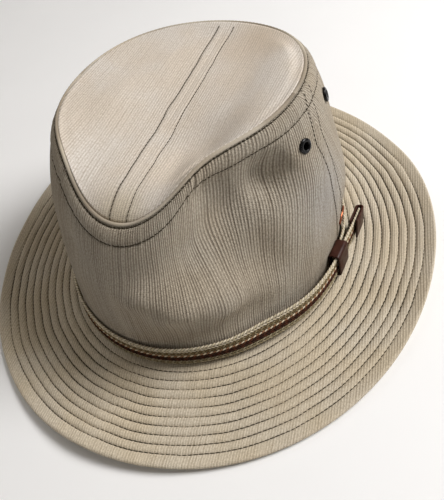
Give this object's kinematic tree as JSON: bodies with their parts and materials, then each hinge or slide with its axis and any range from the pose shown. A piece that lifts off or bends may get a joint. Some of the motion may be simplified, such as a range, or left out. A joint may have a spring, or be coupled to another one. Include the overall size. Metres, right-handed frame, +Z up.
{
  "type": "sun hat",
  "caption": "Soft cloth sun hat with a dished, front-pinched crown, a stitched brim turned up at the sides, a braid band with leather keepers, and metal vents.",
  "frame": {"origin": "on the surface that the brim rests on, under the middle of the hat", "axes": "+Z up, -Y the front of the hat, +X the wearer's left"},
  "size_m": [0.2948, 0.3212, 0.1283],
  "materials": {
    "brim_cloth": "cream slub-striped cotton, stitched in rows",
    "crown_cloth": "cream slub-striped cotton, stripes upright",
    "tip_cloth": "cream slub-striped cotton, stripes lengthwise",
    "braid": "striped woven braid of cream, olive and red-brown cords",
    "leather": "dark brown leather, satin",
    "end_leather": "dark brown leather, satin",
    "copper": "polished copper tone",
    "gunmetal": "glossy black gunmetal"
  },
  "bodies": {
    "root": {"brim": "brim_cloth", "side_crown": "crown_cloth", "tip": "tip_cloth", "hat_band": "braid", "band_keeper": "leather", "band_end": "end_leather", "side_badge": "copper", "eyelet_left_front": "gunmetal", "eyelet_left_back": "gunmetal", "eyelet_right_front": "gunmetal", "eyelet_right_back": "gunmetal"}
  },
  "joints": []
}
